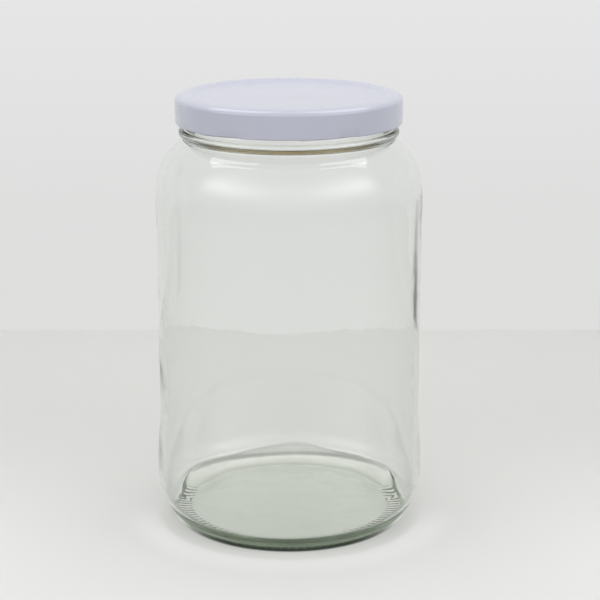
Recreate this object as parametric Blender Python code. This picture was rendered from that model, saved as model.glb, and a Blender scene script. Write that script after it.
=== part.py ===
"""A glass storage jar with a twist-off sheet-metal lid and the sealing ring inside it.

Metres, +Z up. The origin is on the jar's axis, at the level on which the base rests.
"""

import math

import bpy
import bmesh

# Clearance between pieces that touch
CLEARANCE = 0.0003

# Glass body, from the base up
BODY_RADIUS = 0.0670
HEEL_PROUD = 0.0012
LABEL_RECESS = 0.0004
BEARING_RADIUS = 0.0530
BEARING_WIDTH = 0.0030
HEEL_HEIGHT = 0.0235
HEEL_BAND = 0.0035
HEEL_TAPER = 0.0330
LABEL_HEIGHT = 0.0900
LABEL_STEP = 0.0190
SHOULDER_RISE = 0.0270

# Glass walls and base
WALL = 0.0032
BASE_THICKNESS = 0.0060
PUSH_UP = 0.0040
FLOOR_DOME = 0.0055
INNER_HEEL_HEIGHT = 0.0060
INNER_HEEL_WIDTH = 0.0040
INNER_SHOULDER_DROP = 0.0065

# Finish: the neck that the lid closes on
FINISH_RADIUS = 0.0528
FINISH_WALL = 0.0038
NECK_HEIGHT = 0.0037
BEAD_DEPTH = 0.0022
BEAD_HEIGHT = 0.0035
FINISH_HEIGHT = 0.0143
RIM_ROUNDING = 0.0014
THREAD_DEPTH = 0.0018
THREAD_THICKNESS = 0.0026
THREAD_LEAD = 0.0024

# Sealing ring
SEAL_DEPTH = 0.0012
SEAL_OVERHANG = 0.0010

# Lid
SHEET = 0.0003
LID_HEIGHT = 0.0141
LID_CORNER_DROP = 0.0029
CHANNEL_SLOPE = 0.0050
CURL_RADIUS = 0.0008
LUG_DENT = 0.0004

# Lugs and thread starts, and the arcs they take, in degrees
LUGS = 6
LUG_ARC = 7.5
LUG_TAPER = 3.75
THREAD_BEFORE = 26.0
THREAD_AFTER = 14.0
THREAD_TAPER = 5.0

# Shares that shape the curves
HEEL_FLATNESS_SHARE = 0.13
SHOULDER_FULLNESS_SHARE = 0.88
NECK_FILLET_SHARE = 0.15

# Facets
JAR_SEGMENTS = 72
LID_SEGMENTS = 96
RING_SEGMENTS = 72

# Levels of the glass
LABEL_BOTTOM = HEEL_HEIGHT + HEEL_BAND + HEEL_TAPER
LABEL_TOP = LABEL_BOTTOM + LABEL_HEIGHT
SHOULDER_Z = LABEL_TOP + LABEL_STEP
NECK_Z = SHOULDER_Z + SHOULDER_RISE
BEAD_Z = NECK_Z + NECK_HEIGHT
BEAD_TOP = BEAD_Z + BEAD_HEIGHT
RIM_Z = BEAD_TOP + FINISH_HEIGHT

# Radii that follow from the finish
MOUTH_RADIUS = FINISH_RADIUS - FINISH_WALL
CREST_RADIUS = FINISH_RADIUS + THREAD_DEPTH
CURL_INNER = CREST_RADIUS + CLEARANCE
LUG_INNER = FINISH_RADIUS + CLEARANCE
LID_RADIUS = CURL_INNER + 2 * CURL_RADIUS
RIDGE_RADIUS = (MOUTH_RADIUS + FINISH_RADIUS) / 2
PANEL_RADIUS = MOUTH_RADIUS - CHANNEL_SLOPE

# Levels of the lid, from the rim of the glass up
PANEL_Z = RIM_Z + CLEARANCE + SHEET
SEAL_Z = RIM_Z + CLEARANCE
LID_TOP = SEAL_Z + SEAL_DEPTH + CLEARANCE + SHEET
LID_BOTTOM = LID_TOP - LID_HEIGHT
LUG_TOP = LID_BOTTOM + 2 * CURL_RADIUS

PITCH = 360.0 / LUGS


def clear_scene():
    for obj in list(bpy.data.objects):
        bpy.data.objects.remove(obj, do_unlink=True)


def make_material(name, colour, roughness, metallic=0.0, transmission=0.0):
    material = bpy.data.materials.new(name)
    material.use_nodes = True
    shader = material.node_tree.nodes["Principled BSDF"]
    shader.inputs["Base Color"].default_value = (*colour, 1.0)
    shader.inputs["Roughness"].default_value = roughness
    shader.inputs["Metallic"].default_value = metallic
    shader.inputs["Transmission Weight"].default_value = transmission
    return material


def ease(share):
    """Smooth step from 0 to 1, flat at both ends."""
    share = min(max(share, 0.0), 1.0)
    return share * share * (3.0 - 2.0 * share)


def mix(start, end, share):
    return start + (end - start) * share


def ellipse(radius, height, across, up, start, end, count):
    """Points of an ellipse's arc about (radius, height), with angles in degrees."""
    angles = [math.radians(mix(start, end, i / (count - 1))) for i in range(count)]
    return [(radius + across * math.cos(a), height + up * math.sin(a)) for a in angles]


def step_curve(start, end, count):
    """Points between two ends that leaves and arrives upright."""
    shares = [i / (count - 1) for i in range(count)]
    return [(mix(start[0], end[0], ease(s)), mix(start[1], end[1], s)) for s in shares]


def shoulder_curve(start, end, count):
    """A Bezier curve from the body to the neck, upright at both ends."""
    rise = end[1] - start[1]
    full = start[1] + rise * SHOULDER_FULLNESS_SHARE
    fillet = end[1] - rise * NECK_FILLET_SHARE
    points = []
    for i in range(count):
        t = i / (count - 1)
        weights = ((1 - t) ** 3, 3 * t * (1 - t) ** 2, 3 * t * t * (1 - t), t ** 3)
        radius = start[0] * (weights[0] + weights[1]) + end[0] * (weights[2] + weights[3])
        levels = (start[1], full, fillet, end[1])
        points.append((radius, sum(w * level for w, level in zip(weights, levels))))
    return points


def from_lug(degrees):
    """Angle from the nearest lug's centre, positive anticlockwise seen from above."""
    return (degrees + PITCH / 2) % PITCH - PITCH / 2


def lug_weight(degrees):
    """1 on a lug, 0 away from it, with a slope at each side."""
    outside = abs(from_lug(degrees)) - LUG_ARC / 2
    return 1.0 - ease(outside / LUG_TAPER)


def thread_place(degrees):
    """Height of the thread's middle and how far it stands out, at this angle.

    Each start climbs anticlockwise. Between two starts the rows run back down with no ridge.
    """
    along = (degrees + THREAD_BEFORE) % PITCH
    length = THREAD_BEFORE + THREAD_AFTER
    at_lug = LUG_TOP + CLEARANCE + THREAD_THICKNESS / 2
    low = at_lug - THREAD_LEAD * (THREAD_BEFORE - LUG_ARC / 2 - LUG_TAPER) / length
    if along <= length:
        weight = ease(min(along, length - along) / THREAD_TAPER)
        return low + THREAD_LEAD * along / length, weight
    return low + THREAD_LEAD * ease((PITCH - along) / (PITCH - length)), 0.0


def lathe(name, section, segments, material, level=0.0):
    """Turns section(degrees), a list of (radius, height), about Z into one closed body.

    A section that starts and ends on the axis closes there. Any other closes on itself.
    The heights are world heights, and the object's origin is on the axis at level.
    """
    mesh = bpy.data.meshes.new(name)
    builder = bmesh.new()
    columns = []
    first = section(0.0)
    poles = first[0][0] == 0.0
    ends = [builder.verts.new((0.0, 0.0, first[i][1] - level)) for i in (0, -1)] if poles else []
    for k in range(segments):
        degrees = 360.0 * k / segments
        turn = math.radians(degrees)
        points = section(degrees)
        if poles:
            points = points[1:-1]
        columns.append([
            builder.verts.new((r * math.cos(turn), r * math.sin(turn), z - level))
            for r, z in points
        ])
    count = len(columns[0])
    for k in range(segments):
        here = columns[k]
        after = columns[(k + 1) % segments]
        for i in range(count - 1 if poles else count):
            j = (i + 1) % count
            builder.faces.new((here[i], after[i], after[j], here[j]))
        if poles:
            builder.faces.new((ends[0], after[0], here[0]))
            builder.faces.new((ends[1], here[-1], after[-1]))
    bmesh.ops.recalc_face_normals(builder, faces=builder.faces)
    builder.to_mesh(mesh)
    builder.free()
    mesh.shade_smooth()
    mesh.set_sharp_from_angle(angle=math.radians(40.0))
    mesh.materials.append(material)
    obj = bpy.data.objects.new(name, mesh)
    obj.location = (0.0, 0.0, level)
    bpy.context.scene.collection.objects.link(obj)
    return obj


def dome(radius, height, rise, count):
    """A shallow dome from its top on the axis out to its edge at (radius, height)."""
    shares = [i / (count - 1) for i in range(count)]
    return [(radius * share, height + rise * (1.0 - share * share)) for share in shares]


def base_section():
    """Under the base: the raised middle, out to the ring that bears on the table."""
    return dome(BEARING_RADIUS - BEARING_WIDTH, 0.0, PUSH_UP, 6)


def heel_section(across, count):
    """From the bearing ring to the heel's widest place: an ellipse's quarter, drawn in towards its chord."""
    round_heel = ellipse(BEARING_RADIUS, HEEL_HEIGHT, across, HEEL_HEIGHT, -90.0, 0.0, count)
    points = []
    for radius, height in round_heel:
        along = ((radius - BEARING_RADIUS) / across + height / HEEL_HEIGHT) / 2
        chord_radius = BEARING_RADIUS + across * along
        chord_height = HEEL_HEIGHT * along
        points.append((
            mix(radius, chord_radius, HEEL_FLATNESS_SHARE),
            mix(height, chord_height, HEEL_FLATNESS_SHARE),
        ))
    return points


def body_section():
    """Heel, label panel and shoulder, from the bearing ring to the neck."""
    heel = BODY_RADIUS + HEEL_PROUD
    label = BODY_RADIUS - LABEL_RECESS
    band_top = HEEL_HEIGHT + HEEL_BAND
    points = heel_section(heel - BEARING_RADIUS, 10)
    points += step_curve((heel, band_top), (label, LABEL_BOTTOM), 4)
    points += step_curve((label, LABEL_TOP), (BODY_RADIUS, SHOULDER_Z), 3)
    points += shoulder_curve((BODY_RADIUS, SHOULDER_Z), (FINISH_RADIUS, NECK_Z), 10)[1:]
    return points


def finish_section(degrees):
    """Bead, thread and rim, up the outside of the neck and over into the mouth."""
    bead = ellipse(
        FINISH_RADIUS, BEAD_Z + BEAD_HEIGHT / 2, BEAD_DEPTH, BEAD_HEIGHT / 2, -90.0, 90.0, 7
    )
    middle, weight = thread_place(degrees)
    half = THREAD_THICKNESS / 2
    depth = THREAD_DEPTH * weight
    thread = [
        (FINISH_RADIUS, middle - half),
        (FINISH_RADIUS + depth, middle - half / 2),
        (FINISH_RADIUS + depth, middle + half / 2),
        (FINISH_RADIUS, middle + half),
    ]
    outer = FINISH_RADIUS - RIM_ROUNDING
    inner = MOUTH_RADIUS + RIM_ROUNDING
    corner = RIM_Z - RIM_ROUNDING
    rim = ellipse(outer, corner, RIM_ROUNDING, RIM_ROUNDING, 0.0, 90.0, 4)
    rim += ellipse(inner, corner, RIM_ROUNDING, RIM_ROUNDING, 90.0, 180.0, 4)
    return bead + thread + rim


def inside_section():
    """Inner shoulder, wall and floor, from the neck down to the axis."""
    wall = BODY_RADIUS - WALL
    start = SHOULDER_Z - INNER_SHOULDER_DROP
    shoulder = shoulder_curve((wall, start), (MOUTH_RADIUS, NECK_Z), 9)
    points = shoulder[::-1]
    corner = BASE_THICKNESS + INNER_HEEL_HEIGHT
    floor = wall - INNER_HEEL_WIDTH
    points += ellipse(floor, corner, INNER_HEEL_WIDTH, INNER_HEEL_HEIGHT, 0.0, -90.0, 8)
    points += dome(floor, BASE_THICKNESS, FLOOR_DOME, 7)[-2::-1]
    return points


def jar_section(degrees):
    return base_section() + body_section() + finish_section(degrees) + inside_section()


def top_height(radius):
    """Height of the lid's outer surface, from the panel over the channel to the corner."""
    if radius <= RIDGE_RADIUS:
        slope = (radius - PANEL_RADIUS) / (RIDGE_RADIUS - PANEL_RADIUS)
        return mix(PANEL_Z, LID_TOP, ease(slope))
    share = (radius - RIDGE_RADIUS) / (LID_RADIUS - RIDGE_RADIUS)
    return LID_TOP - LID_CORNER_DROP * (1.0 - math.sqrt(1.0 - share * share))


def lid_outside():
    """Top of the lid, from the axis out and down to the straight skirt."""
    points = [(0.0, PANEL_Z), (PANEL_RADIUS / 2, PANEL_Z)]
    slope = [mix(PANEL_RADIUS, RIDGE_RADIUS, share / 4) for share in range(5)]
    points += [(radius, top_height(radius)) for radius in slope]
    across = LID_RADIUS - RIDGE_RADIUS
    corner = LID_TOP - LID_CORNER_DROP
    points += ellipse(RIDGE_RADIUS, corner, across, LID_CORNER_DROP, 90.0, 0.0, 7)[1:]
    return points + [(LID_RADIUS, LUG_TOP + 2 * CURL_RADIUS)]


def lid_inside():
    """The same line one sheet thickness lower, from the skirt in to the axis."""
    points = [(LID_RADIUS - SHEET, LUG_TOP + CURL_RADIUS)]
    across = LID_RADIUS - RIDGE_RADIUS - SHEET
    corner = LID_TOP - LID_CORNER_DROP
    drop = LID_CORNER_DROP - SHEET
    points += ellipse(RIDGE_RADIUS, corner, across, drop, 0.0, 90.0, 7)[:-1]
    slope = [mix(RIDGE_RADIUS, PANEL_RADIUS, share / 4) for share in range(5)]
    points += [(radius, top_height(radius) - SHEET) for radius in slope]
    points += [(PANEL_RADIUS / 2, PANEL_Z - SHEET), (0.0, PANEL_Z - SHEET)]
    return points


def curl_section(degrees):
    """The rolled edge, which is pressed inwards at each lug."""
    weight = lug_weight(degrees)
    outer = LID_RADIUS - LUG_DENT * weight
    inner = mix(CURL_INNER, LUG_INNER, weight)
    middle = (outer + inner) / 2
    half = (outer - inner) / 2
    level = LID_BOTTOM + CURL_RADIUS
    return ellipse(middle, level, half, CURL_RADIUS, 0.0, -250.0, 9)


def lid_section(degrees):
    return lid_outside() + curl_section(degrees) + lid_inside()


def ring_section(degrees):
    """The sealing ring: flat where the glass rim meets it, domed where the channel holds it."""
    inner = MOUTH_RADIUS - SEAL_OVERHANG
    outer = FINISH_RADIUS + SEAL_OVERHANG
    top = [mix(outer, inner, share / 6) for share in range(7)]
    points = [(radius, top_height(radius) - SHEET - CLEARANCE) for radius in top]
    return points + [(inner, SEAL_Z), (mix(inner, outer, 0.5), SEAL_Z), (outer, SEAL_Z)]


def add_axis(name, level):
    """An empty on the jar's axis, which carries what turns and lifts with the lid."""
    axis = bpy.data.objects.new(name, None)
    axis.location = (0.0, 0.0, level)
    bpy.context.scene.collection.objects.link(axis)
    return axis


def carry(piece, axis):
    """Parents a piece to the axis and leaves it where it is."""
    piece.parent = axis
    piece.location.z -= axis.location.z


def main():
    clear_scene()
    glass = make_material("clear_glass", (0.86, 0.90, 0.85), 0.02, transmission=1.0)
    paint = make_material("white_painted_tinplate", (0.74, 0.74, 0.80), 0.25)
    compound = make_material("sealing_compound", (0.80, 0.79, 0.74), 0.55)
    lathe("glass_jar", jar_section, JAR_SEGMENTS, glass)
    lid = lathe("lid_shell", lid_section, LID_SEGMENTS, paint, level=LID_BOTTOM)
    ring = lathe("sealing_ring", ring_section, RING_SEGMENTS, compound, level=SEAL_Z)
    axis = add_axis("lid_axis", RIM_Z)
    carry(lid, axis)
    carry(ring, axis)


main()
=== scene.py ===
"""Looks of the glass storage jar: clear green-tinged glass, a white painted twist-off lid and its seal."""

import math

import bpy
import numpy as np
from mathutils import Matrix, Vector


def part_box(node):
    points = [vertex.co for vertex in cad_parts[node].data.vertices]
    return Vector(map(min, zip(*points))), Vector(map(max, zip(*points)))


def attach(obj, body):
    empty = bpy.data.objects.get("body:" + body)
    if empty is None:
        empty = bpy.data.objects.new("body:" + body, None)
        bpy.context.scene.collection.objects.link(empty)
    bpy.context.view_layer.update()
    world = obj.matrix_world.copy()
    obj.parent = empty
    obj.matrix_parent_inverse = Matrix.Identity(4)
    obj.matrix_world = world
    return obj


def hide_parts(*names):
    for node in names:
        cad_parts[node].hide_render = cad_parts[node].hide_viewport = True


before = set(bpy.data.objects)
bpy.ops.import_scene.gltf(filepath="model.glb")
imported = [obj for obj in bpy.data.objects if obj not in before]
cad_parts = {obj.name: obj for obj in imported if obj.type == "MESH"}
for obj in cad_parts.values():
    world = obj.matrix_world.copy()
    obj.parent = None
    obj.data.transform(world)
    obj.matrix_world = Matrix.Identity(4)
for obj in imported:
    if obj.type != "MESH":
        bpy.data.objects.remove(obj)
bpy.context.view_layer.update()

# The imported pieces' boxes, which every size below starts from
JAR_LOW, JAR_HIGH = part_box("glass_jar")
LID_LOW, LID_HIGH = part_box("lid_shell")
SEAL_LOW, SEAL_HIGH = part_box("sealing_ring")
RIM_Z = JAR_HIGH.z
HEEL_RADIUS = JAR_HIGH.x
LID_RADIUS = LID_HIGH.x
LID_TOP = LID_HIGH.z
LID_BOTTOM = LID_LOW.z

# Glass outside, in metres
BODY_RADIUS = 0.0670
LABEL_RECESS = 0.0004
LABEL_LAND = 0.004
BEARING_RADIUS = 0.0530
BEARING_INNER = 0.0500
HEEL_FLATNESS = 0.13
HEEL_HEIGHT = 0.0235
HEEL_LAND = 0.001
BAND_TOP = 0.0270
LABEL_BOTTOM = 0.0600
LABEL_TOP = 0.1500
SHOULDER_Z = 0.1690
SHOULDER_FULLNESS = 0.72
NECK_Z = 0.1975
NECK_RUN = 0.0040
NECK_RISE = 0.0034
BEAD_Z = 0.1990
BEAD_DEPTH = 0.0021
BEAD_HEIGHT = 0.0038
BEAD_SQUARENESS = 0.8
FINISH_RADIUS = 0.0528
RIM_ROUNDING = 0.0014
THREAD_DEPTH = 0.0018
THREAD_THICKNESS = 0.0026
THREAD_LEAD = 0.0024
JAR_COLUMNS = 720

# Glass inside and under the base
WALL = 0.0032
MOUTH_RADIUS = 0.0490
FLOOR_EDGE_Z = 0.0065
FLOOR_DOME = 0.0050
DOME_POWER = 2.0
DOME_EDGE = 1.2
INNER_HEEL_HEIGHT = 0.0160
FILLET_LAND = 0.0004
FLOOR_RADIUS = 0.0565
FLOOR_SQUARENESS = 9.0
FLOOR_MIDDLE = 0.02
PUSH_UP = 0.0030
PUSH_UP_MIDDLE = 0.0015

# The floor's back edge, higher and uneven, over these degrees to each side of the back
BACK_SPAN = 50.0
BACK_FADE = 40.0
BACK_EDGE_Z = 0.0104
BACK_FLOOR_RADIUS = 0.0633
BACK_HEEL_HEIGHT = 0.0020
BACK_BUMP = 0.0024
BUMP_SPAN = 4.0
BUMP_FADE = 26.0
BACK_RIPPLE = 0.0005
RIPPLE_WAVES = ((9.0, 0.6), (4.0, 2.0))

# Slow waves in the inside of the wall, which fade out at the rim and in the middle of the floor
UNEVEN = 0.00012
UNEVEN_SEED = 4
UNEVEN_WAVES = 7
UNEVEN_AROUND = (1, 7)
UNEVEN_UP = (8.0, 55.0)
UNEVEN_BELOW_RIM = 0.012
UNEVEN_FADE = 0.02
UNEVEN_MIDDLE = 0.04

# Lid
SHEET = 0.0003
CORNER_DROP = 0.0029
CORNER_LAND = 0.001
RIDGE_RADIUS = (MOUTH_RADIUS + FINISH_RADIUS) / 2
PANEL_RADIUS = 0.0440
PANEL_Z = LID_TOP - 0.0015
PANEL_MIDDLE = 0.001
PANEL_LAND = 0.002
SLOPE_LAND = 0.001
CURL_RADIUS = 0.0008
CURL_TURN = 318.0
CLEARANCE = 0.0003
LUG_DENT = 0.0009
SKIRT_END = LID_BOTTOM + 4 * CURL_RADIUS
LID_COLUMNS = 480

# Lugs and thread starts, in degrees
LUGS = 6
LUG_ARC = 7.5
LUG_TAPER = 3.75
THREAD_BEFORE = 26.0
THREAD_AFTER = 14.0
THREAD_TAPER = 5.0
PITCH = 360.0 / LUGS

# Sealing ring
SEAL_INNER = 0.0480
SEAL_OUTER = 0.0538
GROOVE_DEPTH = 0.00025
GROOVE_WIDTH = 0.0022
SEAL_COLUMNS = 288

# Knurled bars of the bearing ring, which fade by how far round they are to the back or the front
KNURL_BARS = 90
KNURL_DEPTH = 0.0004
KNURL_SHARPNESS = 1.5
KNURL_INNER = 0.0515
KNURL_INNER_FADE = 0.0012
KNURL_OUTER = 0.0580
KNURL_OUTER_FADE = 0.0016
KNURL_BACK = 0.10
KNURL_BACK_FADE = 0.30
KNURL_FRONT = 0.30
KNURL_FRONT_FADE = 0.40
KNURL_FAINT = 0.30

# Camera, fitted to the outlines of lid and jar in the photograph
CAMERA_LENS = 108.12
CAMERA_SENSOR = 36.0
CAMERA_PLACE = (0.0055, -0.8859, 0.3548)
CAMERA_DOWN = 15.24
CAMERA_CLIP = (0.01, 50.0)

# Reflections followed inside the glass
BOUNCES = 40

# Backdrop
STAGE_REACH = 4.0
STAGE_ROUGHNESS = 0.9
WALL_BEHIND = 0.336
WALL_COLOUR = (0.75, 0.75, 0.75)
# The wall's painted glow, darker low down and lighter high up, and brighter in reflections and through the glass
WALL_GLOW_LOW = (0.735, 0.735, 0.730)
WALL_GLOW_HIGH = (0.795, 0.795, 0.800)
WALL_LEVELS = (0.02, 0.24)
WALL_GLOW_THROUGH_GLASS = 1.06
# A dark card of painted shade beside the picture, lighter towards its top, which the glass shows as a dark line
CARD_SHADE = (0.16, 0.18, 0.16)
CARD_SHADE_TOP = (0.62, 0.63, 0.62)
CARD_PLACE = (0.222, 0.300)
CARD_WIDTH = 0.10
CARD_LEVELS = (0.0, 0.10)

# Table, with painted shade: from its near colour to the darker back, and darker still far away as if it ran into
# a dim room
TABLE_COLOUR = (0.686, 0.681, 0.662)
TABLE_BACK_SHADE = (0.553, 0.555, 0.532)
TABLE_BACK_SHADE_ENDS = (-0.12, 0.18)
TABLE_FAR_SHADE = (0.55, 0.55, 0.54)
TABLE_FAR_SHADE_ENDS = (0.45, 0.80)

# Painted light and shade on the table under the jar: a bright disc of painted light that reaches further at the
# back, and rings of painted shadow and painted light that show at the front or back
TABLE_PAINTED_LIGHT = (1.0, 0.99, 0.96)
TABLE_PAINTED_LIGHT_RADII = (0.0545, 0.0660)
TABLE_PAINTED_LIGHT_EDGE = 0.001
TABLE_PAINTED_SHADE_AND_LIGHT_RINGS = (
    # where it shows along Y, radii where it starts and ends, colour
    # painted contact shadow under the front of the heel
    ((0.0, -0.05), (0.0530, 0.0545, 0.0565, 0.0590), (0.03, 0.04, 0.03)),
    # painted shadow just behind the heel at the back, seen through the base as a grey line
    ((0.020, 0.050), (0.0665, 0.0690, 0.0705, 0.0735), (0.40, 0.42, 0.39)),
    # painted pool of light on the table in front of the heel
    ((0.010, -0.040), (0.0660, 0.0700, 0.0740, 0.0900), (0.74, 0.74, 0.72)),
)

# Lamps: angle from the camera's side, angle above the table, distance, sides and power
LAMP_AROUND = 127.0
LAMP_UP = 66.5
LAMP_AWAY = 0.61
LAMP_TARGET = (0.0, 0.0, 0.11)
LAMP_SIZE = (0.28, 0.30)
LAMP_POWER = 0.58

# The room, and how much brighter it is in a low band on the camera's side
WORLD_COLOUR = (0.98, 0.985, 1.0)
WORLD_STRENGTH = 0.84
WORLD_MIDDLE = 0.9
WORLD_SIDE = 2.8
WORLD_ACROSS = (0.1, 1.0)
WORLD_ABOVE = (0.05, 0.50)
WORLD_BELOW = (1.00, 0.40)
WORLD_FRONT = (0.1, -0.3)

# Materials
PAINT_LOW = (0.400, 0.409, 0.480)
PAINT_HIGH = (0.418, 0.427, 0.498)
PAINT_GLOSS_LOW = (0.22, 0.22, 0.22)
PAINT_GLOSS_HIGH = (0.28, 0.28, 0.28)
LACQUER_LOW = (0.50, 0.38, 0.16)
LACQUER_HIGH = (0.60, 0.47, 0.22)
COMPOUND_LOW = (0.66, 0.64, 0.58)
COMPOUND_HIGH = (0.74, 0.72, 0.66)
GLASS_IOR = 1.52
GLASS_TINT = (0.59, 0.65, 0.56)
GLASS_DENSITY = 41.0
GLASS_SHADOW = (1.0, 1.0, 1.0)


def ease(share):
    share = np.clip(share, 0.0, 1.0)
    return share * share * (3.0 - 2.0 * share)


def mix(start, end, share):
    return start + (end - start) * share


def ellipse(radius, height, across, up, start, end, count):
    turn = np.radians(np.linspace(start, end, count))
    return np.stack([radius + across * np.cos(turn), height + up * np.sin(turn)], 1)


def straight(start, end, count):
    share = np.linspace(0.0, 1.0, count)[:, None]
    return mix(np.array(start), np.array(end), share)


def step_curve(start, end, count):
    share = np.linspace(0.0, 1.0, count)
    return np.stack([mix(start[0], end[0], ease(share)), mix(start[1], end[1], share)], 1)


def shoulder_curve(start, end, count):
    """The body's shoulder, upright at the body and still sloping where it meets the neck."""
    rise = end[1] - start[1]
    levels = (start[1], start[1] + SHOULDER_FULLNESS * rise, end[1] - NECK_RISE, end[1])
    radii = (start[0], start[0], end[0] + NECK_RUN, end[0])
    t = np.linspace(0.0, 1.0, count)
    weights = ((1 - t) ** 3, 3 * t * (1 - t) ** 2, 3 * t * t * (1 - t), t ** 3)
    radius = sum(w * r for w, r in zip(weights, radii))
    height = sum(w * z for w, z in zip(weights, levels))
    return np.stack([radius, height], 1)


def lug_weight(degrees):
    nearest = np.abs((degrees + PITCH / 2) % PITCH - PITCH / 2)
    return 1.0 - ease((nearest - LUG_ARC / 2) / LUG_TAPER)


def thread_place(degrees):
    """Height of the thread's middle and how far it stands out, at each angle."""
    along = (degrees + THREAD_BEFORE) % PITCH
    length = THREAD_BEFORE + THREAD_AFTER
    at_lug = LID_BOTTOM + 2 * CURL_RADIUS + CLEARANCE + THREAD_THICKNESS / 2
    low = at_lug - THREAD_LEAD * (THREAD_BEFORE - LUG_ARC / 2 - LUG_TAPER) / length
    on_thread = along <= length
    weight = np.where(on_thread, ease(np.minimum(along, length - along) / THREAD_TAPER), 0.0)
    rise = np.where(on_thread, along / length, ease((PITCH - along) / (PITCH - length)))
    return low + THREAD_LEAD * rise, weight


def around(columns):
    """The angle of each column of a turned mesh, in degrees and in radians."""
    degrees = np.arange(columns) * 360.0 / columns
    return degrees, np.radians(degrees)


def every_column(rows, columns):
    """The same (radius, height) rows in every column."""
    return np.repeat(rows[:, None, :], columns, 1)


def grid_object(name, points, poles, closed, material_index=None):
    """A mesh turned about Z from points[row, column], with the end rows gathered into poles."""
    rows, columns = points.shape[:2]
    verts = points.reshape(-1, 3)
    if poles:
        verts = np.concatenate([verts, points[0].mean(0)[None], points[-1].mean(0)[None]])
    faces = []
    groups = []
    last = rows if closed else rows - 1
    for i in range(last):
        j = (i + 1) % rows
        for k in range(columns):
            n = (k + 1) % columns
            faces.append((i * columns + k, i * columns + n, j * columns + n, j * columns + k))
            groups.append(i)
    if poles:
        low, high = rows * columns, rows * columns + 1
        for k in range(columns):
            n = (k + 1) % columns
            faces.append((low, n, k))
            groups.append(0)
            faces.append((high, (rows - 1) * columns + k, (rows - 1) * columns + n))
            groups.append(rows - 1)
    mesh = bpy.data.meshes.new(name)
    mesh.from_pydata(verts.tolist(), [], faces)
    mesh.shade_smooth()
    if material_index is not None:
        mesh.polygons.foreach_set("material_index", [material_index[g] for g in groups])
    mesh.update()
    obj = bpy.data.objects.new(name, mesh)
    bpy.context.scene.collection.objects.link(obj)
    return obj


def turned(profile, turn):
    """points[row, column] from (radius, height) rows that may differ by column."""
    if profile.ndim == 2:
        profile = every_column(profile, len(turn))
    radius = profile[..., 0]
    return np.stack([radius * np.cos(turn), radius * np.sin(turn), profile[..., 1]], 2)


def heel_curve(count):
    """The outside from the bearing ring to the heel's widest place."""
    turn = np.radians(np.linspace(0.0, 90.0, count))
    across, up = np.sin(turn), 1.0 - np.cos(turn)
    chord = (across + up) / 2
    radius = BEARING_RADIUS + (HEEL_RADIUS - BEARING_RADIUS) * mix(across, chord, HEEL_FLATNESS)
    return np.stack([radius, HEEL_HEIGHT * mix(up, chord, HEEL_FLATNESS)], 1)


def dome(share):
    """Height of a dome from its middle, at share 0, to its edge, at share 1."""
    return (1.0 - share ** DOME_POWER) ** DOME_EDGE


def underside(count):
    radius = np.linspace(PUSH_UP_MIDDLE, BEARING_INNER, count)
    return np.stack([radius, PUSH_UP * dome(np.clip(radius / BEARING_INNER, 0.0, 1.0))], 1)


def body_curve():
    """The outside from the heel's widest place up to the neck."""
    panel = BODY_RADIUS - LABEL_RECESS
    return np.concatenate([
        straight((HEEL_RADIUS, HEEL_HEIGHT + HEEL_LAND), (HEEL_RADIUS, BAND_TOP), count=5),
        step_curve((HEEL_RADIUS, BAND_TOP), (panel, LABEL_BOTTOM), count=24)[1:],
        straight((panel, LABEL_BOTTOM + LABEL_LAND), (panel, LABEL_TOP), count=28),
        step_curve((panel, LABEL_TOP), (BODY_RADIUS, SHOULDER_Z), count=16)[1:],
        shoulder_curve((BODY_RADIUS, SHOULDER_Z), (FINISH_RADIUS, NECK_Z), count=48)[1:],
    ])


def inside_wall(outside):
    """The inside of the wall, one wall's thickness in from the outside, from the neck down."""
    along = np.gradient(outside, axis=0)
    inward = np.stack([-along[:, 1], along[:, 0]], 1) / np.linalg.norm(along, axis=1)[:, None]
    up = ease((outside[:, 1] - SHOULDER_Z) / (NECK_Z - SHOULDER_Z))
    thick = mix(WALL, FINISH_RADIUS - MOUTH_RADIUS, up)
    return (outside + inward * thick[:, None])[::-1]


def inner_heel(degrees):
    """Radius and level of the floor's edge and the corner's height, uneven as the glass settled."""
    away = np.abs((degrees + 90.0) % 360.0 - 180.0)
    at_back = 1.0 - ease((away - BACK_SPAN) / BACK_FADE)
    bump = 1.0 - ease((away - BUMP_SPAN) / BUMP_FADE)
    turn = np.radians(degrees)
    ripple = math.prod(np.sin(turn * times + phase) for times, phase in RIPPLE_WAVES)
    back = BACK_EDGE_Z + BACK_BUMP * bump + BACK_RIPPLE * ripple
    edge = mix(FLOOR_RADIUS, BACK_FLOOR_RADIUS, at_back)
    return edge, mix(FLOOR_EDGE_Z, back, at_back), mix(INNER_HEEL_HEIGHT, BACK_HEEL_HEIGHT, at_back)


def floor_profile(degrees):
    """The inside from the heel's widest place down to the middle of the floor."""
    edge, bottom, height = inner_heel(degrees)
    wall = HEEL_RADIUS - WALL
    along = np.linspace(0.0, 1.0, 16)[:, None]
    level = mix(HEEL_HEIGHT, bottom + height + FILLET_LAND, along)
    turn = np.radians(np.linspace(0.0, 90.0, 40))[:, None]
    share = np.linspace(1.0, FLOOR_MIDDLE, 70)[1:, None]
    middle = FLOOR_EDGE_Z + FLOOR_DOME * dome(share)
    return np.concatenate([
        np.stack([np.full_like(level, wall), level], 2),
        np.stack([edge + (wall - edge) * np.cos(turn), bottom + height * (1.0 - np.sin(turn))], 2),
        np.stack([edge * share, middle + (bottom - FLOOR_EDGE_Z) * share ** FLOOR_SQUARENESS], 2),
    ])


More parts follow.
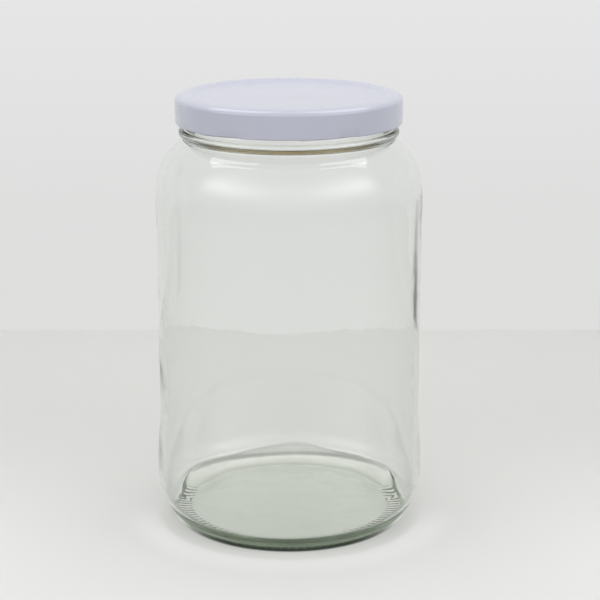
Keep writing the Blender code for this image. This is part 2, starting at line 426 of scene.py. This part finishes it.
def bead_curve(count):
    """The bead under the lid: a flat face with small rounded corners."""
    turn = np.radians(np.linspace(-90.0, 90.0, count))
    out = np.cos(turn) ** BEAD_SQUARENESS
    return np.stack([FINISH_RADIUS + BEAD_DEPTH * out, BEAD_Z + BEAD_HEIGHT / 2 * (1.0 + np.sin(turn))], 1)


def thread_rows(degrees, count):
    """The band of the neck that carries the thread starts."""
    middle, weight = thread_place(degrees)
    across = np.linspace(-1.0, 1.0, count)[:, None]
    radius = FINISH_RADIUS + THREAD_DEPTH * weight[None, :] * (1.0 - np.abs(across) ** 3)
    return np.stack([radius, middle[None, :] + across * THREAD_THICKNESS / 2], 2)


def glass_profile(degrees):
    """Rows of the jar's outside and of its inside, for each angle: [row, column, (radius, height)]."""
    body = body_curve()
    below = np.concatenate([underside(count=90), heel_curve(count=70), body, bead_curve(count=25)])
    corner = RIM_Z - RIM_ROUNDING
    outer_rim = ellipse(FINISH_RADIUS - RIM_ROUNDING, corner, RIM_ROUNDING, RIM_ROUNDING, 0.0, 90.0, count=9)
    inner_rim = ellipse(MOUTH_RADIUS + RIM_ROUNDING, corner, RIM_ROUNDING, RIM_ROUNDING, 90.0, 180.0, count=9)
    columns = len(degrees)
    outside = np.concatenate([
        every_column(below, columns), thread_rows(degrees, count=11), every_column(outer_rim, columns)
    ])
    walls = every_column(np.concatenate([inner_rim, inside_wall(body)]), columns)
    return outside, np.concatenate([walls, floor_profile(degrees)])


def knurl(profile, degrees):
    """Short radial bars under the bearing ring. Their crests stay on the bearing level."""
    radius = profile[..., 0]
    height = profile[..., 1]
    window = ease((radius - KNURL_INNER) / KNURL_INNER_FADE) * ease((KNURL_OUTER - radius) / KNURL_OUTER_FADE)
    wave = 0.5 - 0.5 * np.cos(np.radians(degrees) * KNURL_BARS)
    back = np.sin(np.radians(degrees))
    off_back = 1.0 - ease((back - KNURL_BACK) / KNURL_BACK_FADE)
    off_front = mix(1.0, KNURL_FAINT, ease((-back - KNURL_FRONT) / KNURL_FRONT_FADE))
    lift = KNURL_DEPTH * (off_back * off_front)[None, :] * window * wave[None, :] ** KNURL_SHARPNESS
    profile[..., 1] = np.where(height < HEEL_HEIGHT, height + lift, height)


def wavy(turn, height):
    """A slow unevenness from a few sine waves round and up the glass."""
    random = np.random.default_rng(UNEVEN_SEED)
    total = np.zeros(np.broadcast(turn, height).shape)
    for _ in range(UNEVEN_WAVES):
        times = random.integers(*UNEVEN_AROUND)
        up = random.uniform(*UNEVEN_UP)
        phase = random.uniform(0.0, 2 * math.pi)
        total += np.sin(times * turn + up * height * math.pi + phase) / UNEVEN_WAVES
    return UNEVEN * total


def make_glass_jar(material):
    degrees, turn = around(JAR_COLUMNS)
    outside, inside = glass_profile(degrees)
    knurl(outside, degrees)
    # The inside of blown glass is uneven, most of all near the floor and the shoulder
    free = ease((RIM_Z - UNEVEN_BELOW_RIM - inside[..., 1]) / UNEVEN_FADE)
    inside[..., 0] += wavy(turn[None, :], inside[..., 1]) * free * ease(inside[..., 0] / UNEVEN_MIDDLE)
    profile = np.concatenate([outside, inside])
    jar = grid_object("glass_jar_fine", turned(profile, turn), poles=True, closed=False)
    jar.data.materials.append(material)
    return jar


def top_height(radius):
    """Height of the lid's top face: sunk panel, slope, ridge and rounded corner."""
    slope = (radius - PANEL_RADIUS) / (RIDGE_RADIUS - PANEL_RADIUS)
    inside = mix(PANEL_Z, LID_TOP, ease(slope))
    share = np.clip((radius - RIDGE_RADIUS) / (LID_RADIUS - RIDGE_RADIUS), 0.0, 1.0)
    return np.where(radius <= RIDGE_RADIUS, inside, LID_TOP - CORNER_DROP * (1.0 - np.sqrt(1.0 - share * share)))


def lid_profile(degrees):
    """Rows of the lid, outside, rolled edge and inside, and how many of them are painted."""
    slope = np.linspace(PANEL_RADIUS - SLOPE_LAND, RIDGE_RADIUS, 26)
    corner = LID_TOP - CORNER_DROP
    skirt_top = corner - CORNER_LAND
    across = LID_RADIUS - RIDGE_RADIUS
    panel_edge = PANEL_RADIUS - PANEL_LAND
    outside = np.concatenate([
        straight((PANEL_MIDDLE, PANEL_Z), (panel_edge, PANEL_Z), count=24),
        np.stack([slope, top_height(slope)], 1),
        ellipse(RIDGE_RADIUS, corner, across, CORNER_DROP, 90.0, 0.0, count=28)[1:],
        straight((LID_RADIUS, skirt_top), (LID_RADIUS, SKIRT_END), count=6),
    ])
    inside = np.concatenate([
        straight((LID_RADIUS - SHEET, SKIRT_END), (LID_RADIUS - SHEET, skirt_top), count=6),
        ellipse(RIDGE_RADIUS, corner, across - SHEET, CORNER_DROP - SHEET, 0.0, 90.0, count=28)[:-1],
        np.stack([slope[::-1], top_height(slope[::-1]) - SHEET], 1),
        straight((panel_edge, PANEL_Z - SHEET), (PANEL_MIDDLE, PANEL_Z - SHEET), count=24),
    ])
    weight = lug_weight(degrees)
    outer = LID_RADIUS - LUG_DENT * weight
    inner = mix(LID_RADIUS - 2 * CURL_RADIUS, FINISH_RADIUS + CLEARANCE, weight)
    middle = ((outer + inner) / 2)[None, :]
    half = ((outer - inner) / 2)[None, :]
    level = LID_BOTTOM + CURL_RADIUS
    roll = np.radians(np.linspace(0.0, -CURL_TURN, 34))[:, None]
    curl = [
        np.stack(np.broadcast_arrays(middle + (half - thick) * np.cos(turn), level + radius * np.sin(turn)), 2)
        for turn, thick, radius in ((roll, 0.0, CURL_RADIUS), (roll[::-1], SHEET, CURL_RADIUS - SHEET))
    ]
    columns = len(degrees)
    rows = [every_column(outside, columns), *curl, every_column(inside, columns)]
    return np.concatenate(rows), len(outside) + len(roll) // 2


def make_lid(paint, lacquer):
    degrees, turn = around(LID_COLUMNS)
    profile, painted = lid_profile(degrees)
    index = [0 if row < painted else 1 for row in range(len(profile))]
    lid = grid_object("lid_shell_fine", turned(profile, turn), poles=True, closed=False, material_index=index)
    lid.data.materials.append(paint)
    lid.data.materials.append(lacquer)
    return lid


def make_seal(material):
    _, turn = around(SEAL_COLUMNS)
    radius = np.linspace(SEAL_OUTER, SEAL_INNER, 25)
    top = np.stack([radius, top_height(radius) - SHEET - CLEARANCE], 1)
    groove = np.linspace(SEAL_INNER, SEAL_OUTER, 25)
    dip = GROOVE_DEPTH * ease(1.0 - np.abs(groove - (SEAL_INNER + SEAL_OUTER) / 2) / GROOVE_WIDTH)
    under = np.stack([groove, SEAL_LOW.z + dip], 1)
    ring = grid_object("sealing_ring_fine", turned(np.concatenate([top, under]), turn), poles=False, closed=True)
    ring.data.materials.append(material)
    return ring


def new_material(name):
    material = bpy.data.materials.new(name)
    material.use_nodes = True
    nodes = material.node_tree.nodes
    return material, nodes, material.node_tree.links, nodes["Principled BSDF"]


def add_noise(nodes, links, scale, detail):
    """Noise over the piece's own coordinates."""
    noise = nodes.new("ShaderNodeTexNoise")
    noise.inputs["Scale"].default_value = scale
    noise.inputs["Detail"].default_value = detail
    place = nodes.new("ShaderNodeTexCoord")
    links.new(place.outputs["Object"], noise.inputs["Vector"])
    return noise.outputs[0]


def ramp(nodes, links, value, low, high, start=0.35, end=0.65):
    """A colour ramp between two colours, fed by another node's output."""
    node = nodes.new("ShaderNodeValToRGB")
    node.color_ramp.elements[0].position = start
    node.color_ramp.elements[1].position = end
    node.color_ramp.elements[0].color = (*low, 1.0)
    node.color_ramp.elements[1].color = (*high, 1.0)
    links.new(value, node.inputs["Fac"])
    return node.outputs["Color"]


def add_bump(nodes, links, height, shader, strength, distance):
    bump = nodes.new("ShaderNodeBump")
    bump.inputs["Strength"].default_value = strength
    bump.inputs["Distance"].default_value = distance
    links.new(height, bump.inputs["Height"])
    links.new(bump.outputs["Normal"], shader.inputs["Normal"])


def mix_shader(nodes, links, share, first, second):
    node = nodes.new("ShaderNodeMixShader")
    for socket, source in zip(node.inputs, (share, first, second)):
        links.new(source, socket)
    return node.outputs["Shader"]


def map_range(nodes, links, value, ends, results=(0.0, 1.0), shape="SMOOTHSTEP"):
    node = nodes.new("ShaderNodeMapRange")
    node.interpolation_type = shape
    node.inputs["From Min"].default_value = ends[0]
    node.inputs["From Max"].default_value = ends[1]
    node.inputs["To Min"].default_value = results[0]
    node.inputs["To Max"].default_value = results[1]
    links.new(value, node.inputs["Value"])
    return node.outputs["Result"]


def calculate(nodes, links, operation, *values):
    """A maths node's result from numbers and other nodes' outputs."""
    node = nodes.new("ShaderNodeMath")
    node.operation = operation
    for socket, value in zip(node.inputs, values):
        if isinstance(value, float):
            socket.default_value = value
        else:
            links.new(value, socket)
    return node.outputs[0]


def mix_colour(nodes, links, share, first, second):
    """A colour between two colours, each plain or another node's output."""
    node = nodes.new("ShaderNodeMix")
    node.data_type = "RGBA"
    links.new(share, node.inputs[0])
    for socket, colour in ((node.inputs[6], first), (node.inputs[7], second)):
        if isinstance(colour, tuple):
            socket.default_value = (*colour, 1.0)
        else:
            links.new(colour, socket)
    return node.outputs[2]


def coordinates(nodes, links, kind="Object"):
    """A point's place as a vector, and its three axes."""
    place = nodes.new("ShaderNodeTexCoord")
    axes = nodes.new("ShaderNodeSeparateXYZ")
    links.new(place.outputs[kind], axes.inputs[0])
    return place.outputs[kind], axes.outputs


def make_glass():
    material, nodes, links, shader = new_material("jar_glass")
    shader.inputs["Base Color"].default_value = (1.0, 1.0, 1.0, 1.0)
    shader.inputs["Roughness"].default_value = 0.0
    shader.inputs["IOR"].default_value = GLASS_IOR
    shader.inputs["Transmission Weight"].default_value = 1.0
    waves = add_noise(nodes, links, scale=55.0, detail=2.0)
    add_bump(nodes, links, waves, shader, strength=0.06, distance=0.0012)
    absorb = nodes.new("ShaderNodeVolumeAbsorption")
    absorb.inputs["Color"].default_value = (*GLASS_TINT, 1.0)
    absorb.inputs["Density"].default_value = GLASS_DENSITY
    clear = nodes.new("ShaderNodeBsdfTransparent")
    clear.inputs["Color"].default_value = (*GLASS_SHADOW, 1.0)
    path = nodes.new("ShaderNodeLightPath")
    surface = mix_shader(
        nodes, links, path.outputs["Is Shadow Ray"], shader.outputs["BSDF"], clear.outputs["BSDF"]
    )
    output = nodes["Material Output"]
    links.new(absorb.outputs["Volume"], output.inputs["Volume"])
    links.new(surface, output.inputs["Surface"])
    return material


def make_paint():
    material, nodes, links, shader = new_material("lid_white_paint")
    patches = add_noise(nodes, links, scale=30.0, detail=4.0)
    peel = add_noise(nodes, links, scale=900.0, detail=2.0)
    tint = ramp(nodes, links, patches, PAINT_LOW, PAINT_HIGH, start=0.2, end=0.8)
    gloss = ramp(nodes, links, patches, PAINT_GLOSS_LOW, PAINT_GLOSS_HIGH, start=0.2, end=0.8)
    links.new(tint, shader.inputs["Base Color"])
    links.new(gloss, shader.inputs["Roughness"])
    shader.inputs["Coat Weight"].default_value = 0.35
    shader.inputs["Coat Roughness"].default_value = 0.06
    add_bump(nodes, links, peel, shader, strength=0.03, distance=0.0001)
    return material


def make_lacquer():
    material, nodes, links, shader = new_material("lid_gold_lacquer")
    streaks = add_noise(nodes, links, scale=120.0, detail=3.0)
    links.new(ramp(nodes, links, streaks, LACQUER_LOW, LACQUER_HIGH), shader.inputs["Base Color"])
    shader.inputs["Metallic"].default_value = 0.8
    shader.inputs["Roughness"].default_value = 0.32
    add_bump(nodes, links, streaks, shader, strength=0.05, distance=0.0001)
    return material


def make_compound():
    material, nodes, links, shader = new_material("seal_compound")
    grain = add_noise(nodes, links, scale=600.0, detail=3.0)
    links.new(ramp(nodes, links, grain, COMPOUND_LOW, COMPOUND_HIGH), shader.inputs["Base Color"])
    shader.inputs["Roughness"].default_value = 0.5
    add_bump(nodes, links, grain, shader, strength=0.2, distance=0.0002)
    return material


def stage_material(name, colour):
    """A plain matt surface."""
    material, nodes, links, shader = new_material(name)
    shader.inputs["Base Color"].default_value = (*colour, 1.0)
    shader.inputs["Roughness"].default_value = STAGE_ROUGHNESS
    return material, nodes, links, shader


def make_wall():
    """A wall that the camera, reflections and glass see as a painted glow at a plain colour, brighter towards
    its top and brighter still in reflections and through the glass.
    """
    material, nodes, links, shader = stage_material("wall", WALL_COLOUR)
    _, axes = coordinates(nodes, links)
    share = map_range(nodes, links, axes["Z"], WALL_LEVELS, shape="LINEAR")
    path = nodes.new("ShaderNodeLightPath").outputs
    # Painted light: reflections and the glass see the wall brighter than the camera does
    strength = map_range(nodes, links, path["Is Camera Ray"], (0.0, 1.0), (WALL_GLOW_THROUGH_GLASS, 1.0))
    light = nodes.new("ShaderNodeEmission")
    links.new(ramp(nodes, links, share, WALL_GLOW_LOW, WALL_GLOW_HIGH, start=0.3, end=1.0), light.inputs["Color"])
    links.new(strength, light.inputs["Strength"])
    seen = calculate(nodes, links, "MAXIMUM", path["Is Camera Ray"], path["Is Glossy Ray"])
    seen = calculate(nodes, links, "MAXIMUM", seen, path["Is Transmission Ray"])
    front = mix_shader(nodes, links, seen, shader.outputs["BSDF"], light.outputs["Emission"])
    # Seen from behind, the wall lets the view through to the jar
    geometry = nodes.new("ShaderNodeNewGeometry")
    clear = nodes.new("ShaderNodeBsdfTransparent")
    both = mix_shader(nodes, links, geometry.outputs["Backfacing"], front, clear.outputs["BSDF"])
    links.new(both, nodes["Material Output"].inputs["Surface"])
    return material


def make_table():
    """The table's colour carries painted shade: darker to the back, and dark far from the jar as if the lit
    sheet ended in a dim room.
    """
    material, nodes, links, shader = stage_material("table", TABLE_COLOUR)
    place, axes = coordinates(nodes, links)
    length = nodes.new("ShaderNodeVectorMath")
    length.operation = "LENGTH"
    links.new(place, length.inputs[0])
    away = length.outputs["Value"]
    # Painted shade, darker to the back and far from the jar
    behind = map_range(nodes, links, axes["Y"], TABLE_BACK_SHADE_ENDS)
    colour = mix_colour(nodes, links, behind, TABLE_COLOUR, TABLE_BACK_SHADE)
    far = map_range(nodes, links, away, TABLE_FAR_SHADE_ENDS, shape="LINEAR")
    colour = mix_colour(nodes, links, far, colour, TABLE_FAR_SHADE)
    # Painted light and shade under the jar: clear shadows leave out that the thick glass gathers light under its
    # floor and sheds it under its heel, so a bright disc and the rings below paint them onto the table
    reach = map_range(nodes, links, axes["Y"], (-BEARING_INNER, BEARING_INNER), TABLE_PAINTED_LIGHT_RADII, "LINEAR")
    past = calculate(nodes, links, "SUBTRACT", away, reach)
    outside = map_range(nodes, links, past, (-TABLE_PAINTED_LIGHT_EDGE, TABLE_PAINTED_LIGHT_EDGE))
    # The bright disc of painted light under the jar
    colour = mix_colour(nodes, links, outside, TABLE_PAINTED_LIGHT, colour)
    # Each ring paints a shadow or a pool of light into the table's colour
    for levels, radii, ring in TABLE_PAINTED_SHADE_AND_LIGHT_RINGS:
        side = map_range(nodes, links, axes["Y"], levels)
        start = map_range(nodes, links, away, radii[:2])
        end = map_range(nodes, links, away, radii[:1:-1])
        share = calculate(nodes, links, "MULTIPLY", side, calculate(nodes, links, "MULTIPLY", start, end))
        colour = mix_colour(nodes, links, share, colour, ring)
    links.new(colour, shader.inputs["Base Color"])
    return material


def make_card():
    """A dark card of painted shade that grows lighter towards its top."""
    material, nodes, links, shader = stage_material("card", CARD_SHADE)
    _, axes = coordinates(nodes, links)
    share = map_range(nodes, links, axes["Z"], CARD_LEVELS)
    links.new(mix_colour(nodes, links, share, CARD_SHADE, CARD_SHADE_TOP), shader.inputs["Base Color"])
    return material


def add_sheet(name, corners, material):
    mesh = bpy.data.meshes.new(name)
    mesh.from_pydata(corners, [], [(0, 1, 2, 3)])
    mesh.materials.append(material)
    sheet = bpy.data.objects.new(name, mesh)
    bpy.context.scene.collection.objects.link(sheet)
    return sheet


def upright(left, right, depth, bottom, top):
    """Corners of an upright rectangle that faces the camera."""
    return [(left, depth, bottom), (right, depth, bottom), (right, depth, top), (left, depth, top)]


def make_stage():
    reach = STAGE_REACH
    add_sheet("table_top", [
        (-reach, -reach, 0), (reach, -reach, 0), (reach, WALL_BEHIND, 0), (-reach, WALL_BEHIND, 0)
    ], make_table())
    add_sheet("back_wall", upright(-reach, reach, WALL_BEHIND, 0, reach), make_wall())
    # A dark card of painted shade beside the picture, which casts no shadow and lights nothing, and draws a thin
    # dark line along the glass's right edge
    left, depth = CARD_PLACE
    card = add_sheet("dark_card", upright(left, left + CARD_WIDTH, depth, *CARD_LEVELS), make_card())
    card.visible_diffuse = False
    card.visible_shadow = False


def add_lamp(name, azimuth, elevation, distance, size, power):
    """A square softbox that faces the jar. Azimuth is from the camera's side, to its right."""
    lamp = bpy.data.lights.new(name, "AREA")
    lamp.shape = "RECTANGLE"
    lamp.size, lamp.size_y = size
    lamp.energy = power
    obj = bpy.data.objects.new(name, lamp)
    a, e = math.radians(azimuth), math.radians(elevation)
    away = Vector((math.sin(a) * math.cos(e), -math.cos(a) * math.cos(e), math.sin(e)))
    obj.location = Vector(LAMP_TARGET) + distance * away
    obj.rotation_euler = (-away).to_track_quat("-Z", "Y").to_euler()
    bpy.context.scene.collection.objects.link(obj)


def make_world():
    world = bpy.data.worlds.new("studio")
    world.use_nodes = True
    nodes = world.node_tree.nodes
    links = world.node_tree.links
    background = nodes["Background"]
    background.inputs["Color"].default_value = (*WORLD_COLOUR, 1.0)
    # The room is brighter low down on the camera's side, most of all to the left and right
    _, axes = coordinates(nodes, links, "Generated")
    sideways = calculate(nodes, links, "ABSOLUTE", axes["X"])
    more = map_range(nodes, links, sideways, WORLD_ACROSS, (WORLD_MIDDLE, WORLD_SIDE))
    for axis, ends in (("Z", WORLD_ABOVE), ("Z", WORLD_BELOW), ("Y", WORLD_FRONT)):
        more = calculate(nodes, links, "MULTIPLY", more, map_range(nodes, links, axes[axis], ends))
    strength = calculate(nodes, links, "MULTIPLY_ADD", more, WORLD_STRENGTH, WORLD_STRENGTH)
    links.new(strength, background.inputs["Strength"])
    bpy.context.scene.world = world


def make_light():
    make_world()
    for name, azimuth in (("softbox_left", -LAMP_AROUND), ("softbox_right", LAMP_AROUND)):
        add_lamp(name, azimuth, LAMP_UP, LAMP_AWAY, LAMP_SIZE, LAMP_POWER)


def make_camera():
    data = bpy.data.cameras.new("camera")
    data.lens = CAMERA_LENS
    data.sensor_width = CAMERA_SENSOR
    data.clip_start, data.clip_end = CAMERA_CLIP
    camera = bpy.data.objects.new("camera", data)
    camera.location = CAMERA_PLACE
    camera.rotation_euler = (math.radians(90.0 - CAMERA_DOWN), 0.0, 0.0)
    bpy.context.scene.collection.objects.link(camera)
    bpy.context.scene.camera = camera


def main():
    scene = bpy.context.scene
    scene.view_settings.view_transform = "Standard"
    # Light runs round inside the thick glass of the base, which takes more turns than the default
    for limit in ("max_bounces", "transmission_bounces", "glossy_bounces", "transparent_max_bounces"):
        setattr(scene.cycles, limit, BOUNCES)
    jar = make_glass_jar(make_glass())
    lid = make_lid(make_paint(), make_lacquer())
    seal = make_seal(make_compound())
    for piece, body, node, slot in (
        (jar, "jar", "glass_jar", "glass"),
        (lid, "lid", "lid_shell", "lid_paint"),
        (seal, "seal", "sealing_ring", "seal_compound"),
    ):
        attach(piece, body)
        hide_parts(node)
    make_stage()
    make_light()
    make_camera()


main()
